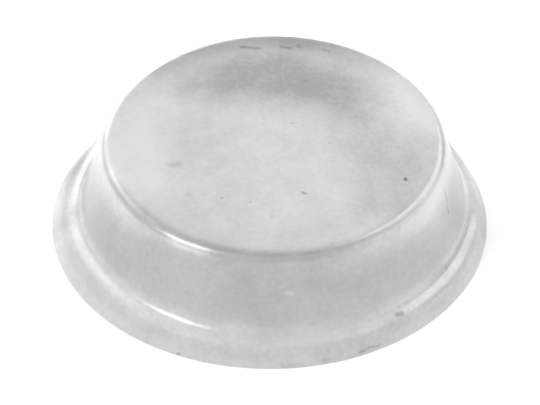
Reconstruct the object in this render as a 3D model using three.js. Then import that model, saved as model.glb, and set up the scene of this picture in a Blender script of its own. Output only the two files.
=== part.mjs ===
// Cabinet door bumper: a low, round, milky-clear pad, moulded in one piece.
// It sticks to a door or drawer front by its flat foot, and its flat top takes the knock.
// A thin flange runs round the bottom, and the body above it leans in towards the top.
import * as THREE from "three";

// Sizes in millimetres. The foot lies at z = 0 round the Z axis, and +Z points away from the door.
const FLANGE_DIAMETER = 12.7;
const OVERALL_HEIGHT = 3.1;
const RIM_HEIGHT = 0.53;
const RIM_LEAN = 0.32;
const FLANGE_TOP_WIDTH = 0.4;
const FLANGE_TOP_RISE = 0.2;
const WALL_DRAFT_DEGREES = 15.3;
const BODY_OFFSET_X = 0.12;
const RIM_SHOULDER_RADIUS = 0.25;
const WALL_FOOT_RADIUS = 0.4;
const TOP_EDGE_RADIUS = 0.3;

// How finely the round shapes are stepped.
const SEGMENTS = 96;
const ROUNDING_STEPS = 5;

// Material of the moulding.
const PAD_COLOUR = 0xe3e4e3;
const PAD_ROUGHNESS = 0.2;

// Points along the arc that rounds one corner of the profile. The arc keeps to half of each
// straight stretch beside it, so two rounded corners never run into each other.
function roundedCorner(before, corner, after, wantedRadius) {
  const towardsBefore = before.clone().sub(corner);
  const towardsAfter = after.clone().sub(corner);
  const room = Math.min(towardsBefore.length(), towardsAfter.length()) / 2;
  towardsBefore.normalize();
  towardsAfter.normalize();
  const halfAngle = Math.acos(towardsBefore.dot(towardsAfter)) / 2;
  const tangent = Math.min(wantedRadius / Math.tan(halfAngle), room);
  const radius = tangent * Math.tan(halfAngle);
  const bisector = towardsBefore.clone().add(towardsAfter).normalize();
  const centre = corner.clone().addScaledVector(bisector, radius / Math.sin(halfAngle));
  const start = corner.clone().addScaledVector(towardsBefore, tangent).sub(centre);
  const end = corner.clone().addScaledVector(towardsAfter, tangent).sub(centre);
  const turn = Math.atan2(start.cross(end), start.dot(end));
  const points = [];
  for (let step = 0; step <= ROUNDING_STEPS; step += 1) {
    const angle = (turn * step) / ROUNDING_STEPS;
    points.push(start.clone().rotateAround(new THREE.Vector2(), angle).add(centre));
  }
  return points;
}

// Half of the cross-section as (radius, height), from the middle of the foot to the middle of the top.
const rimFoot = new THREE.Vector2(FLANGE_DIAMETER / 2, 0);
const rimShoulder = new THREE.Vector2(rimFoot.x - RIM_LEAN, RIM_HEIGHT);
const wallFoot = new THREE.Vector2(rimShoulder.x - FLANGE_TOP_WIDTH, RIM_HEIGHT + FLANGE_TOP_RISE);
const wallLean = (OVERALL_HEIGHT - wallFoot.y) * Math.tan(THREE.MathUtils.degToRad(WALL_DRAFT_DEGREES));
const topEdge = new THREE.Vector2(wallFoot.x - wallLean, OVERALL_HEIGHT);
const footCentre = new THREE.Vector2(0, 0);
const topCentre = new THREE.Vector2(0, OVERALL_HEIGHT);
const profile = [
  footCentre,
  rimFoot,
  ...roundedCorner(rimFoot, rimShoulder, wallFoot, RIM_SHOULDER_RADIUS),
  ...roundedCorner(rimShoulder, wallFoot, topEdge, WALL_FOOT_RADIUS),
  ...roundedCorner(wallFoot, topEdge, topCentre, TOP_EDGE_RADIUS),
  topCentre,
];

// The body stands a little off the flange's centre. Each ring moves sideways by its height,
// from nothing at the foot to the whole offset where the wall begins.
function moveBodySideways(geometry) {
  const position = geometry.getAttribute("position");
  for (let index = 0; index < position.count; index += 1) {
    const share = Math.min(position.getZ(index) / wallFoot.y, 1);
    position.setX(index, position.getX(index) + BODY_OFFSET_X * share);
  }
}

function makeBumperBody() {
  const geometry = new THREE.LatheGeometry(profile, SEGMENTS);
  geometry.rotateX(Math.PI / 2);
  moveBodySideways(geometry);
  geometry.computeVertexNormals();
  const material = new THREE.MeshStandardMaterial({
    color: PAD_COLOUR,
    roughness: PAD_ROUGHNESS,
    metalness: 0,
  });
  const body = new THREE.Mesh(geometry, material);
  body.name = "bumper_body";
  return body;
}

const bumper = new THREE.Group();
bumper.name = "cabinet_door_bumper";
bumper.add(makeBumperBody());

export default bumper;
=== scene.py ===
"""A milky-clear cabinet door bumper standing on its flat foot, on a plain white floor."""
import math

import bpy
from mathutils import Matrix, Vector


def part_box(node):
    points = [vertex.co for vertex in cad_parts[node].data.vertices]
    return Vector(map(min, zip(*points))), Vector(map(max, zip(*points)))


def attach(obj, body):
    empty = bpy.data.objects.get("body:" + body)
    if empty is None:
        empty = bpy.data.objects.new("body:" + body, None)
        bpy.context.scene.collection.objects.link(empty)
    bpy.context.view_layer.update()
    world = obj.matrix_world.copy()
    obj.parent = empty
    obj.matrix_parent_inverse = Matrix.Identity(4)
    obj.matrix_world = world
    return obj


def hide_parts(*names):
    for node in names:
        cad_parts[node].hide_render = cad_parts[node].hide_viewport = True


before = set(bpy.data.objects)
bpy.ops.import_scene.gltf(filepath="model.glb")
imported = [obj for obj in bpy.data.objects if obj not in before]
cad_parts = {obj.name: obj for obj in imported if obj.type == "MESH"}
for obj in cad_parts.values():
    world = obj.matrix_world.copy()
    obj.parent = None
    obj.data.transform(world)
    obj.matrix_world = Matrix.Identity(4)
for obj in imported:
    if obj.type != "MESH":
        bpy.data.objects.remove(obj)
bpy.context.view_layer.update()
MM = 0.001

# Bumper body.
# The real piece is one moulding of soft, milky-clear plastic: a flat foot that sticks to the door,
# a thin flange with a leaning rim, a wall that leans in, and a flat top that takes the knock.
# It comes out of its mould with softly rounded corners and a faint orange-peel skin.
body_low, body_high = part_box("bumper_body")
BODY_SIZES = {
    "Flange Radius": (body_high[0] - body_low[0]) / 2,
    "Overall Height": body_high[2] - body_low[2],
    "Rim Height": 0.53 * MM,
    "Rim Lean": 0.32 * MM,
    "Flange Top Width": 0.4 * MM,
    "Flange Top Rise": 0.2 * MM,
    "Wall Draft": math.radians(15.3),
    "Body Offset": 0.12 * MM,
    "Shoulder Radius": 0.25 * MM,
    "Wall Foot Radius": 0.4 * MM,
    "Top Edge Radius": 0.3 * MM,
}
SEGMENTS_ROUND = 256
ROUNDING_STEPS = 8
CUTS_BETWEEN_CORNERS = 2
SWEEP_RADIUS = 1 * MM
WELD_DISTANCE = 0.0002 * MM
CREASE_ANGLE = math.radians(45)


class Value:
    """A node socket that takes part in Python sums: each sum adds its Math node to the tree."""

    def __init__(self, maker, socket):
        self.maker = maker
        self.socket = socket

    def _math(self, operation, first, second=0.0):
        inputs = {0: first, 1: second}
        return self.maker.add("ShaderNodeMath", {"operation": operation}, inputs).out(0)

    def __add__(self, other):
        return self._math("ADD", self, other)

    def __sub__(self, other):
        return self._math("SUBTRACT", self, other)

    def __mul__(self, other):
        return self._math("MULTIPLY", self, other)

    def __truediv__(self, other):
        return self._math("DIVIDE", self, other)

    def __radd__(self, other):
        return self._math("ADD", other, self)

    def __rsub__(self, other):
        return self._math("SUBTRACT", other, self)

    def __rmul__(self, other):
        return self._math("MULTIPLY", other, self)

    def tangent(self):
        return self._math("TANGENT", self)

    def at_most(self, other):
        return self._math("MINIMUM", self, other)

    def at_least(self, other):
        return self._math("MAXIMUM", self, other)

    def smooth_step(self, start, end):
        """0 at start, 1 at end, and a smooth change between them."""
        return self.maker.add(
            "ShaderNodeMapRange",
            {"interpolation_type": "SMOOTHSTEP"},
            {"Value": self, "From Min": start, "From Max": end},
        ).out("Result")


class Node:
    """One node of a tree, whose outputs are read as values."""

    def __init__(self, maker, node):
        self.maker = maker
        self.node = node

    def out(self, name):
        return Value(self.maker, self.node.outputs[name])


class TreeMaker:
    """Adds nodes to one tree."""

    def __init__(self, tree):
        self.tree = tree

    def add(self, node_type, settings=None, inputs=None):
        """Makes a node from its type, its settings, and the values or links of its sockets."""
        node = self.tree.nodes.new(node_type)
        for name, setting in (settings or {}).items():
            setattr(node, name, setting)
        self.fill(node, inputs or {})
        return Node(self, node)

    def fill(self, node, inputs):
        for name, value in inputs.items():
            if isinstance(value, Value):
                self.tree.links.new(value.socket, node.inputs[name])
            else:
                node.inputs[name].default_value = value

    def distance(self, place, other):
        """How far one place is from another."""
        return self.vector_math("DISTANCE", {0: place, 1: other}, "Value")

    def vector_math(self, operation, inputs, output="Vector"):
        return self.add("ShaderNodeVectorMath", {"operation": operation}, inputs).out(output)

    def mix_colours(self, share, first, second):
        """The first colour at a share of 0, and the second at 1."""
        inputs = {"Factor": share, "A": first, "B": second}
        return self.add("ShaderNodeMix", {"data_type": "RGBA"}, inputs).out("Result")

    def mix_shaders(self, share, first, second):
        """The first shader at a share of 0, and the second at 1."""
        return self.add("ShaderNodeMixShader", None, {0: share, 1: first, 2: second}).out("Shader")

    def vector(self, x, y, z):
        return self.add("ShaderNodeCombineXYZ", None, {"X": x, "Y": y, "Z": z}).out("Vector")

    def switch(self, data_type, choices):
        """Picks one of the choices by the point's index."""
        switch = self.add("GeometryNodeIndexSwitch", {"data_type": data_type})
        while len(switch.node.index_switch_items) < len(choices):
            switch.node.index_switch_items.new()
        self.fill(switch.node, {str(place): choice for place, choice in enumerate(choices)})
        self.fill(switch.node, {"Index": self.add("GeometryNodeInputIndex").out("Index")})
        return switch.out("Output")


def new_geometry_tree(name, size_names):
    """A Geometry Nodes tree with one named float input for each size."""
    tree = bpy.data.node_groups.new(name, "GeometryNodeTree")
    for size_name in size_names:
        tree.interface.new_socket(size_name, in_out="INPUT", socket_type="NodeSocketFloat")
    tree.interface.new_socket("Geometry", in_out="OUTPUT", socket_type="NodeSocketGeometry")
    return tree


def build_by_nodes(name, tree, sizes, extra_modifiers=()):
    """Runs the tree with its sizes and keeps the result as a plain mesh."""
    carrier = bpy.data.objects.new(name + "_maker", bpy.data.meshes.new(name + "_maker"))
    bpy.context.scene.collection.objects.link(carrier)
    modifier = carrier.modifiers.new("Shape", "NODES")
    modifier.node_group = tree
    for item in tree.interface.items_tree:
        if item.in_out == "INPUT":
            modifier[item.identifier] = sizes[item.name]
    for modifier_type, settings in extra_modifiers:
        extra = carrier.modifiers.new(modifier_type, modifier_type)
        for setting_name, setting in settings.items():
            setattr(extra, setting_name, setting)
    evaluated = carrier.evaluated_get(bpy.context.evaluated_depsgraph_get())
    mesh = bpy.data.meshes.new_from_object(evaluated)
    mesh.name = name
    bpy.data.objects.remove(carrier)
    piece = bpy.data.objects.new(name, mesh)
    bpy.context.scene.collection.objects.link(piece)
    return piece


def make_body_tree(material):
    """Turns the half section of the pad round the Z axis, then moves the body sideways."""
    tree = new_geometry_tree("Bumper revolve", BODY_SIZES)
    make = TreeMaker(tree)
    size = make.add("NodeGroupInput").out
    rim_foot_r = size("Flange Radius")
    shoulder_r = rim_foot_r - size("Rim Lean")
    wall_foot_r = shoulder_r - size("Flange Top Width")
    wall_foot_z = size("Rim Height") + size("Flange Top Rise")
    wall_lean = (size("Overall Height") - wall_foot_z) * size("Wall Draft").tangent()
    corners = [
        (0.0, size("Overall Height"), 0.0),
        (wall_foot_r - wall_lean, size("Overall Height"), size("Top Edge Radius")),
        (wall_foot_r, wall_foot_z, size("Wall Foot Radius")),
        (shoulder_r, size("Rim Height"), size("Shoulder Radius")),
        (rim_foot_r, 0.0, 0.0),
        (0.0, 0.0, 0.0),
    ]
    # The section is swept along a small circle, so its radius is counted from that circle, and the
    # circle's frame points down, so its heights are turned over.
    corner_places = [make.vector(r - SWEEP_RADIUS, 0.0 - z, 0.0) for r, z, _ in corners]
    section = make.add("GeometryNodePoints", None, {
        "Count": len(corners),
        "Position": make.switch("VECTOR", corner_places),
    }).out("Points")
    section = make.add("GeometryNodePointsToCurves", None, {"Points": section}).out("Curves")
    section = make.add("GeometryNodeFilletCurve", {"mode": "POLY"}, {
        "Curve": section,
        "Count": ROUNDING_STEPS,
        "Radius": make.switch("FLOAT", [radius for _, _, radius in corners]),
        "Limit Radius": True,
    }).out("Curve")
    section = make.add("GeometryNodeSubdivideCurve", None, {
        "Curve": section,
        "Cuts": CUTS_BETWEEN_CORNERS,
    }).out("Curve")
    circle = make.add("GeometryNodeCurvePrimitiveCircle", None, {
        "Resolution": SEGMENTS_ROUND,
        "Radius": SWEEP_RADIUS,
    }).out("Curve")
    circle = make.add("GeometryNodeSetCurveNormal", {"mode": "Z_UP"}, {"Curve": circle}).out("Curve")
    pad = make.add("GeometryNodeCurveToMesh", None, {
        "Curve": circle,
        "Profile Curve": section,
    }).out("Mesh")
    pad = make.add("GeometryNodeMergeByDistance", None, {
        "Geometry": pad,
        "Distance": WELD_DISTANCE,
    }).out("Geometry")
    height = make.add("ShaderNodeSeparateXYZ", None, {
        "Vector": make.add("GeometryNodeInputPosition").out("Position"),
    }).out("Z")
    share = (height / wall_foot_z).at_most(1.0)
    pad = make.add("GeometryNodeSetPosition", None, {
        "Geometry": pad,
        "Offset": make.vector(size("Body Offset") * share, 0.0, 0.0),
    }).out("Geometry")
    edge_angle = make.add("GeometryNodeInputMeshEdgeAngle").out("Unsigned Angle")
    pad = make.add("GeometryNodeStoreNamedAttribute", {"data_type": "BOOLEAN", "domain": "EDGE"}, {
        "Geometry": pad,
        "Name": "sharp_edge",
        "Value": make.add("FunctionNodeCompare", {"operation": "GREATER_THAN"}, {
            "A": edge_angle,
            "B": CREASE_ANGLE,
        }).out("Result"),
    }).out("Geometry")
    pad = make.add("GeometryNodeRealizeInstances", None, {"Geometry": pad}).out("Geometry")
    pad = make.add("GeometryNodeSetMaterial", None, {
        "Geometry": pad,
        "Material": material,
    }).out("Geometry")
    make.add("NodeGroupOutput", None, {"Geometry": pad})
    return tree


def new_material(name):
    """An empty node material and the maker that fills it."""
    material = bpy.data.materials.new(name)
    material.use_nodes = True
    material.node_tree.nodes.clear()
    return material, TreeMaker(material.node_tree)


# The moulding is clear with haze in it. A share of 0 is clear and 1 is all haze, and the haze's
# tone runs from deep grey at 0 to pale at 1, which paints shade at 0 and light at 1. The wall is
# the plain case, in painted shade.
WALL_SHARE = 0.45
WALL_TONE = 0.2
MOST_HAZE = 0.9
SHADED_HAZE = (0.3, 0.302, 0.3, 1.0)
LIT_HAZE = (0.93, 0.93, 0.925, 1.0)
# Where the haze changes, in millimetres: x, y and z, the distance out from the body's axis, and the
# distances from the middle of the top and from the middle of the painted shadow ring. A limit holds
# nothing at its first number and everything at its second. After the limits come the changes of
# share and tone. The tone changes are painted light and shade: the top and the flange painted paler
# than the wall, a painted shadow ring in the dark arcs and darker edges of the top, painted
# highlights in the bands and gleams just under the top edge, and painted light and shade in the
# tone steps round the foot of the wall and on the rim's shoulder.
TOP_Z = BODY_SIZES["Overall Height"] / MM
TOP_MIDDLE = (BODY_SIZES["Body Offset"] / MM, 0.0, TOP_Z)
SHADOW_RING_MIDDLE = (-0.7, -1.8, TOP_Z)
ON_TOP = ("z", 3.0, 3.08)
ON_SIDE = ("z", 3.08, 3.0)
UNDER_EDGE = (("z", 1.9, 2.8), ("z", 3.06, 2.98))
BY_FOOT = (("out", 5.6, 5.72), ("out", 6.08, 5.95))
SHADES = {
    # Painted light: the flange and the top are paler than the wall.
    "flange": ([("z", 1.15, 0.68)], 0.15, 0.44),
    "top": ([ON_TOP], -0.03, 0.56),
    # Painted shadow: two dark arcs on the top, the pad's shadow ring on the table seen through it.
    "painted_shadow_back": (
        [ON_TOP, ("shadow_ring", 3.2, 4.7), ("shadow_ring", 6.9, 4.8), ("y", -0.2, 2.6), ("x", -3.6, -0.8)],
        0.2, -0.85,
    ),
    "painted_shadow_right": (
        [
            ON_TOP, ("shadow_ring", 2.2, 4.0), ("shadow_ring", 6.2, 4.6),
            ("y", 2.6, -0.2), ("y", -4.4, -2.6), ("x", 1.0, 2.8),
        ],
        0.1, -0.4,
    ),
    # Painted shade: the top darker towards its back and front edges.
    "top_back": (
        [ON_TOP, ("middle", 4.0, 4.8), ("y", 0.5, 3.5), ("x", -4.2, -2.4), ("x", 3.4, 1.8)],
        0.0, -0.5,
    ),
    "top_front": ([ON_TOP, ("middle", 3.0, 4.7), ("y", -0.5, -3.5), ("x", 3.0, 1.0)], 0.0, -0.26),
    "top_edge": ([ON_TOP, ("middle", 4.5, 4.8), ("y", 0.5, -1.0)], 0.05, -0.13),
    # Painted shade: a dark line along the top's front edge.
    "edge_line": (
        [
            ("middle", 4.6, 4.84), ("middle", 4.96, 4.88), ("y", 0.0, -2.0),
            ("x", -4.9, -4.4), ("x", 4.2, 2.4),
        ],
        0.15, -0.32,
    ),
    # Painted highlights: pale bands just under the top edge, and two gleams.
    "under_edge": ([*UNDER_EDGE], 0.06, 0.2),
    "under_edge_left": ([*UNDER_EDGE, ("x", -4.0, -4.8)], 0.15, 0.2),
    "under_edge_right": ([*UNDER_EDGE, ("x", 0.8, 4.2)], 0.18, 0.4),
    "gleam_left_front": (
        [("z", 2.68, 2.9), ("z", 3.08, 3.0), ("x", -3.2, -2.8), ("x", -1.5, -2.1), ("y", 0.0, -3.0)],
        0.25, 0.35,
    ),
    "gleam_left": (
        [("z", 2.4, 2.7), ("z", 2.95, 2.85), ("x", -4.6, -4.2), ("x", -3.3, -3.7), ("y", 0.0, -2.0)],
        0.08, 0.1,
    ),
    # Painted light and shade round the foot of the wall and on the rim's shoulder.
    "foot_left": ([("out", 5.52, 5.64), ("out", 6.05, 5.9), ("x", 3.0, 0.0)], 0.0, 0.1),
    "foot_right": ([*BY_FOOT, ("x", 2.6, 3.8), ("y", -0.4, -1.8)], 0.0, -0.4),
    "foot_front": ([*BY_FOOT, ("x", -2.5, -1.0), ("x", 3.2, 2.0)], 0.0, -0.15),
    "shoulder": ([("out", 5.95, 6.12), ("out", 6.33, 6.15)], 0.0, -0.15),
    "shoulder_right": (
        [("out", 5.9, 6.0), ("out", 6.2, 6.1), ("x", 2.4, 3.8), ("y", -1.5, -2.5)],
        0.0, -0.1,
    ),
}
# Places of painted light and shade, in millimetres: the middle, how far the place reaches, and the
# change of tone. A rise of tone is painted light, and a fall is painted shade.
TOP_PLACES = {
    "left": ((-4.7, -0.4, TOP_Z), 2.5, 0.8),
    "back_left": ((-3.2, 1.6, TOP_Z), 1.3, 0.25),
    "left_middle": ((-2.4, 0.0, TOP_Z), 2.2, -0.24),
    "left_front": ((-3.6, -2.3, TOP_Z), 1.3, 0.2),
    "front_middle": ((-1.2, -2.4, TOP_Z), 1.8, -0.18),
    "shadow_ring_left": ((-1.2, 1.7, TOP_Z), 1.2, -0.12),
    "shadow_ring_middle": ((0.6, 1.7, TOP_Z), 1.3, -0.12),
    "back_left_edge": ((-2.8, 3.0, TOP_Z), 1.1, -0.12),
    "back_middle": ((0.6, 4.2, TOP_Z), 1.6, -0.2),
    "shadow_ring_right_end": ((2.4, 2.2, TOP_Z), 1.3, 0.15),
    "back_right": ((4.2, 1.8, TOP_Z), 2.4, 0.55),
}
# Painted light and shade on the wall, flange and rim, given in the same way.
SIDE_PLACES = {
    "edge_right_front": ((4.4, -2.2, 2.6), 1.8, 0.3),
    "wall_left_front": ((-2.4, -4.9, 1.6), 1.7, 0.22),
    "wall_left_back": ((-5.2, 0.6, 1.2), 2.2, -0.3),
    "wall_left": ((-5.1, -2.0, 1.1), 2.4, -0.3),
    "wall_front_left": ((-3.3, -4.4, 1.2), 1.5, 0.12),
    "wall_right": ((3.6, -4.2, 1.3), 2.4, 0.17),
    "wall_right_back": ((5.3, -0.6, 1.3), 2.0, -0.3),
    "wall_front_low": ((1.6, -5.3, 0.8), 2.4, 0.25),
    "flange_back_left": ((-5.4, 1.7, 0.7), 1.6, -0.6),
    "flange_left": ((-5.6, -2.8, 0.4), 3.4, 0.18),
    "flange_front": ((-0.5, -6.3, 0.0), 4.0, 0.2),
    "flange_right": ((4.8, -4.2, 0.0), 3.3, 0.4),
    "rim_right": ((6.2, -1.8, 0.0), 2.4, 0.38),
    "rim_right_back": ((6.0, 1.6, 0.2), 2.2, 0.3),
    "rim_left_back": ((-6.3, 1.0, 0.1), 1.5, 0.5),
    "rim_left": ((-6.1, -1.8, 0.1), 2.0, 0.2),
}
# The rim is duller than the rest, and the foot that sticks is half milky. Both limits are in
# millimetres: out from the body's axis, and above the door.
RIM_BEGINS = (5.85, 6.0)
RIM_ROUGHER = 0.15
FOOT_TACK = 0.5
FOOT_BELOW = (0.006, 0.002)
TACK_COLOUR = (0.95, 0.95, 0.95, 1.0)
CLEAR_COLOUR = (0.99, 0.99, 0.985, 1.0)
CLEAR_IOR = 1.49
ABSORPTION_COLOUR = (0.0, 0.0, 0.0, 1.0)
ABSORPTION_DENSITY = 30.0
CLEAR_ROUGHNESS = 0.27
MILKY_ROUGHNESS = 0.3
ROUGHNESS_SPREAD = 0.08
COAT_WEIGHT = 0.7
COAT_ROUGHNESS = 0.15
# The clouding and the grain are noises that stray about their middle value.
NOISE_MIDDLE = 0.5
CLOUD = {"Scale": 1500.0, "Detail": 3.0, "Roughness": 0.55}
GRAIN = {"Scale": 7000.0, "Detail": 2.0, "Roughness": 0.6}
MOTTLE_DEPTH = 0.55
SKIN_BUMP = {"Strength": 0.1, "Distance": 0.01 * MM}
# Grit, scuffs and a dark stroke on the skin, in millimetres: two ends, half the width, and the strength.
DARK_MARKS = {
    "top_right_grit": ((3.94, -1.56, TOP_Z), (3.95, -1.53, TOP_Z), 0.104, 0.75),
    "top_middle_grit": ((0.98, -2.17, TOP_Z), (1.0, -2.18, TOP_Z), 0.1, 0.5),
    "top_front_grit": ((0.07, -3.22, TOP_Z), (0.08, -3.2, TOP_Z), 0.065, 0.2),
    "top_left_front_grit": ((-1.38, -2.42, TOP_Z), (-1.37, -2.41, TOP_Z), 0.078, 0.3),
    "top_left_middle_grit": ((-0.56, -2.59, TOP_Z), (-0.57, -2.57, TOP_Z), 0.065, 0.2),
    "top_left_smudge": ((-2.85, -0.95, TOP_Z), (-2.65, -0.9, TOP_Z), 0.208, 0.15),
    "top_left_scuff": ((-2.38, -2.25, TOP_Z), (-2.34, -2.2, TOP_Z), 0.13, 0.15),
    "top_back_grit": ((1.03, 2.8, TOP_Z), (1.04, 2.82, TOP_Z), 0.078, 0.25),
    "top_right_scuff": ((1.73, 0.07, TOP_Z), (1.76, 0.07, TOP_Z), 0.065, 0.15),
    "top_curl": ((0.6, 0.94, TOP_Z), (0.78, 0.96, TOP_Z), 0.065, 0.15),
    "back_dash": ((-0.85, 4.36, TOP_Z), (-0.35, 4.29, TOP_Z), 0.117, 0.3),
    "back_left_spot": ((0.34, 4.38, TOP_Z), (0.58, 4.3, TOP_Z), 0.104, 0.28),
    "back_middle_spot": ((0.8, 4.42, TOP_Z), (0.86, 4.34, TOP_Z), 0.104, 0.25),
    "back_right_spot": ((1.55, 4.24, TOP_Z), (1.72, 4.18, TOP_Z), 0.104, 0.15),
    "back_right_scuff": ((2.6, 3.82, TOP_Z), (2.95, 3.68, TOP_Z), 0.104, 0.06),
    "back_scratch": ((0.29, 4.3, TOP_Z), (0.3, 2.6, TOP_Z), 0.033, 0.09),
    "flange_grit": ((3.7, -4.65, 0.6), (3.85, -4.57, 0.6), 0.11, 0.4),
    "flange_line": ((4.62, -4.0, 0.54), (5.2, -3.24, 0.54), 0.07, 0.12),
    "rim_grit_left": ((2.62, -5.72, 0.1), (2.8, -5.64, 0.12), 0.078, 0.33),
    "rim_grit_middle": ((2.84, -5.6, 0.14), (3.02, -5.5, 0.14), 0.084, 0.26),
    "rim_grit_right": ((3.06, -5.5, 0.1), (3.2, -5.4, 0.1), 0.065, 0.28),
    "rim_smear": ((0.4, -6.29, 0.06), (0.95, -6.24, 0.06), 0.104, 0.1),
    "rim_scuff": ((1.5, -6.12, 0.08), (1.75, -6.05, 0.08), 0.091, 0.1),
    "rim_dot": ((-2.63, -5.76, 0.04), (-2.6, -5.77, 0.04), 0.078, 0.5),
    "wall_dark_stroke": ((5.07, -1.36, 2.55), (5.16, -1.42, 2.2), 0.05, 0.35),
    "wall_dark_stroke_end": ((5.16, -1.42, 2.2), (5.2, -1.6, 1.85), 0.05, 0.35),
    "flange_right_dot": ((5.14, -2.7, 0.7), (5.16, -2.69, 0.7), 0.065, 0.25),
}
# Small pale specks and streaks, given in the same way.
PALE_MARKS = {
    "wall_front_pale_speck": ((0.52, -5.27, 1.97), (0.64, -5.26, 1.97), 0.156, 0.6),
    "wall_right_pale_speck": ((3.38, -4.31, 1.53), (3.42, -4.29, 1.53), 0.091, 0.3),
    "wall_middle_pale_speck": ((2.54, -4.63, 2.18), (2.58, -4.61, 2.18), 0.091, 0.3),
    "top_edge_streak": ((3.72, -3.2, TOP_Z), (4.1, -2.72, TOP_Z), 0.039, 0.4),
    "top_edge_short_streak": ((3.9, -2.85, TOP_Z), (4.12, -2.55, TOP_Z), 0.026, 0.3),
}
# A mark's outline strays by up to half of this, in millimetres.
MARK_RAGGEDNESS = 0.1
DARK_MARK_COLOUR = (0.03, 0.03, 0.03, 1.0)
PALE_MARK_COLOUR = (0.95, 0.95, 0.95, 1.0)


def measure_skin(make, place):
    """The coordinates of each place on the skin, and its distances from the shapes' middles."""
    axis = make.add("ShaderNodeSeparateXYZ", None, {"Vector": place}).out
    level_place = make.vector(axis("X"), axis("Y"), 0.0)
    return {
        "x": axis("X"),
        "y": axis("Y"),
        "z": axis("Z"),
        "out": make.distance(level_place, (TOP_MIDDLE[0], 0.0, 0.0)),
        "middle": make.distance(place, TOP_MIDDLE),
        "shadow_ring": make.distance(place, SHADOW_RING_MIDDLE),
    }


def hold(measures, limits):
    """1 where all the limits hold, and less where one of them fades."""
    return math.prod(measures[name].smooth_step(start, end) for name, start, end in limits)


def make_haze(make, place, measures):
    """How much haze stands at each place on the skin, and its tone, which is painted light and shade."""
    share, tone = WALL_SHARE, WALL_TONE
    for limits, share_change, tone_change in SHADES.values():
        held = hold(measures, limits)
        share = held * share_change + share
        tone = held * tone_change + tone
    for limit, places in ((ON_TOP, TOP_PLACES), (ON_SIDE, SIDE_PLACES)):
        on_part = hold(measures, [limit])
        for middle, reach, change in places.values():
            near = make.distance(place, middle).smooth_step(reach, 0.0)
            tone = on_part * near * change + tone
    return share.at_most(MOST_HAZE), tone.at_least(0.0).at_most(1.0)


def make_marks(make, place, marks):
    """How strongly the marks show at each place: each is a stroke from its start to its end."""
    strongest = 0.0
    for start, end, half_width, strength in marks.values():
        stroke = Vector(end) - Vector(start)
        from_start = make.vector_math("SUBTRACT", {0: place, 1: start})
        along = make.vector_math("DOT_PRODUCT", {0: from_start, 1: stroke.normalized()}, "Value")
        along = along.at_least(0.0).at_most(stroke.length)
        nearest = make.vector_math("SCALE", {"Vector": stroke.normalized(), "Scale": along})
        off_stroke = make.distance(from_start, nearest)
        mark = off_stroke.smooth_step(half_width, 0.0) * strength
        strongest = mark.at_least(strongest)
    return strongest


def make_milky_clear():
    """Clear soft plastic with a little haze, cloudy at two scales, and a faint orange-peel skin; painted
    light and shade set the haze's tone.
    """
    material, make = new_material("milky_clear_plastic")
    place = make.add("ShaderNodeTexCoord").out("Object")
    cloud = make.add("ShaderNodeTexNoise", None, {"Vector": place, **CLOUD}).out("Fac")
    grain_noise = make.add("ShaderNodeTexNoise", None, {"Vector": place, **GRAIN})
    grain = grain_noise.out("Fac")
    place_mm = make.vector_math("SCALE", {"Vector": place, "Scale": 1 / MM})
    measures = measure_skin(make, place_mm)
    share, tone = make_haze(make, place_mm, measures)
    mottle = (cloud + grain - 2 * NOISE_MIDDLE) * MOTTLE_DEPTH
    rim = measures["out"].smooth_step(*RIM_BEGINS)
    rougher = grain * ROUGHNESS_SPREAD + rim * RIM_ROUGHER
    skin = make.add("ShaderNodeBump", None, {"Height": cloud + grain, **SKIN_BUMP}).out("Normal")
    gloss = {
        "Normal": skin,
        "IOR": CLEAR_IOR,
        "Coat Weight": (1.0 - rim) * COAT_WEIGHT,
        "Coat Roughness": COAT_ROUGHNESS,
    }
    clear = make.add("ShaderNodeBsdfPrincipled", None, {
        "Base Color": CLEAR_COLOUR,
        "Roughness": rougher + CLEAR_ROUGHNESS,
        "Transmission Weight": 1.0,
        **gloss,
    }).out("BSDF")
    # The milky part's colour carries the painted light and shade, with random mottle on top.
    milky = make.add("ShaderNodeBsdfPrincipled", None, {
        "Base Color": make.mix_colours(tone + mottle, SHADED_HAZE, LIT_HAZE),
        "Roughness": rougher + MILKY_ROUGHNESS,
        **gloss,
    }).out("BSDF")
    plastic = make.mix_shaders(share, clear, milky)
    scattered = make.vector_math("SUBTRACT", {0: grain_noise.out("Color"), 1: (NOISE_MIDDLE,) * 3})
    shift = make.vector_math("SCALE", {"Vector": scattered, "Scale": MARK_RAGGEDNESS})
    ragged_place = make.vector_math("ADD", {0: place_mm, 1: shift})
    for marks, colour in ((DARK_MARKS, DARK_MARK_COLOUR), (PALE_MARKS, PALE_MARK_COLOUR)):
        bits = make.add("ShaderNodeBsdfDiffuse", None, {"Color": colour}).out("BSDF")
        plastic = make.mix_shaders(make_marks(make, ragged_place, marks), plastic, bits)
    tack = make.add("ShaderNodeBsdfTranslucent", None, {"Color": TACK_COLOUR}).out("BSDF")
    foot = measures["z"].smooth_step(*FOOT_BELOW)
    plastic = make.mix_shaders(foot, plastic, make.mix_shaders(FOOT_TACK, clear, tack))
    depth = make.add("ShaderNodeVolumeAbsorption", None, {
        "Color": ABSORPTION_COLOUR,
        "Density": ABSORPTION_DENSITY,
    }).out("Volume")
    make.add("ShaderNodeOutputMaterial", None, {"Surface": plastic, "Volume": depth})
    return material


bumper = build_by_nodes(
    "bumper_pad",
    make_body_tree(make_milky_clear()),
    BODY_SIZES,
    [("WEIGHTED_NORMAL", {"keep_sharp": True})],
)
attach(bumper, "root")
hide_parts("bumper_body")

# Floor.
# A plain white table top under the pad. It shows pure white, as a photographer's lit table does,
# and keeps the pad's soft shadow.
FLOOR_HALF = 0.6
FLOOR_GAP = 0.01 * MM
FLOOR_COLOUR = (0.93, 0.93, 0.93, 1.0)
FLOOR_GLOW = 0.2


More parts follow.
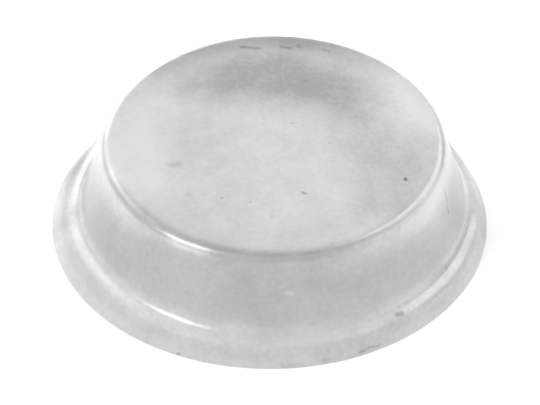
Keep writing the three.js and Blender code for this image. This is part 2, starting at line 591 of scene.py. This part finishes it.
def make_floor_white():
    """White paint, with a little glow that only the camera sees, straight or through the pad."""
    material, make = new_material("white_table")
    paint = make.add("ShaderNodeBsdfDiffuse", None, {"Color": FLOOR_COLOUR}).out("BSDF")
    ray = make.add("ShaderNodeLightPath").out
    seen = (ray("Is Camera Ray") + ray("Is Glossy Ray") + ray("Is Transmission Ray")).at_most(1.0)
    glow = make.add("ShaderNodeEmission", None, {"Strength": seen * FLOOR_GLOW}).out("Emission")
    both = make.add("ShaderNodeAddShader", None, {0: paint, 1: glow}).out("Shader")
    make.add("ShaderNodeOutputMaterial", None, {"Surface": both})
    return material


floor_mesh = bpy.data.meshes.new("white_table")
floor_mesh.from_pydata(
    [(x * FLOOR_HALF, y * FLOOR_HALF, -FLOOR_GAP) for x, y in ((-1, -1), (1, -1), (1, 1), (-1, 1))],
    [],
    [(0, 1, 2, 3)],
)
floor_mesh.materials.append(make_floor_white())
floor = bpy.data.objects.new("white_table", floor_mesh)
bpy.context.scene.collection.objects.link(floor)

# Lights.
# A pale studio all round and five soft lamps. The one behind on the right lights the pad through,
# and the one at the left front gleams on the top edge and on the foot of the wall. An azimuth turns
# from straight behind the pad towards its right, and both angles are in degrees.
LAMP_DISTANCE = 0.5
LAMPS = {
    "left_front_softbox": {"azimuth": -119, "elevation": 42, "width": 0.22, "height": 0.32, "power": 1.4},
    "right_softbox": {"azimuth": 105, "elevation": 26, "width": 0.3, "height": 0.3, "power": 0.3},
    "back_softbox": {"azimuth": -20, "elevation": 15, "width": 0.28, "height": 0.28, "power": 0.8},
    "back_right_softbox": {"azimuth": 45, "elevation": 44, "width": 0.42, "height": 0.42, "power": 1.5},
    "back_left_softbox": {"azimuth": -50, "elevation": 42, "width": 0.3, "height": 0.3, "power": 0.6},
}
ROOM_BRIGHTNESS = 0.35

for lamp_name, lamp in LAMPS.items():
    light = bpy.data.lights.new(lamp_name, "AREA")
    light.shape = "ELLIPSE"
    light.size = lamp["width"]
    light.size_y = lamp["height"]
    light.energy = lamp["power"]
    azimuth = math.radians(lamp["azimuth"])
    elevation = math.radians(lamp["elevation"])
    towards_lamp = Vector((
        math.sin(azimuth) * math.cos(elevation),
        math.cos(azimuth) * math.cos(elevation),
        math.sin(elevation),
    ))
    light_object = bpy.data.objects.new(lamp_name, light)
    light_object.location = towards_lamp * LAMP_DISTANCE
    light_object.rotation_euler = towards_lamp.to_track_quat("Z", "Y").to_euler()
    bpy.context.scene.collection.objects.link(light_object)

world = bpy.data.worlds.new("studio")
world.use_nodes = True
world.node_tree.nodes.clear()
world_make = TreeMaker(world.node_tree)
room = world_make.add("ShaderNodeBackground", None, {"Strength": ROOM_BRIGHTNESS}).out("Background")
world_make.add("ShaderNodeOutputWorld", None, {"Surface": room})
bpy.context.scene.world = world

# Camera.
# It looks down at the pad from the front through a very long lens, as the photograph does.
CAMERA_ELEVATION = math.radians(40.95)
CAMERA_ROLL = math.radians(0.21)
CAMERA_DISTANCE = 381 * MM
PIXELS_PER_MM = 34.22
PHOTO_WIDTH_PX = 540
ORIGIN_RIGHT_OF_MIDDLE_PX = -0.6
ORIGIN_BELOW_MIDDLE_PX = 21.9

camera_data = bpy.data.cameras.new("camera")
camera_data.clip_start = 1 * MM
camera_data.lens = camera_data.sensor_width * PIXELS_PER_MM * CAMERA_DISTANCE / MM / PHOTO_WIDTH_PX
# The photograph's middle lies a little off the pad's own middle.
backwards = Vector((0, -math.cos(CAMERA_ELEVATION), math.sin(CAMERA_ELEVATION)))
turn = backwards.to_track_quat("Z", "Y").to_matrix() @ Matrix.Rotation(CAMERA_ROLL, 3, "Z")
aim = turn @ Vector((-ORIGIN_RIGHT_OF_MIDDLE_PX, ORIGIN_BELOW_MIDDLE_PX, 0)) * (MM / PIXELS_PER_MM)
camera = bpy.data.objects.new("camera", camera_data)
camera.matrix_world = Matrix.Translation(aim + backwards * CAMERA_DISTANCE) @ turn.to_4x4()
bpy.context.scene.collection.objects.link(camera)
bpy.context.scene.camera = camera
bpy.context.scene.view_settings.view_transform = "Standard"
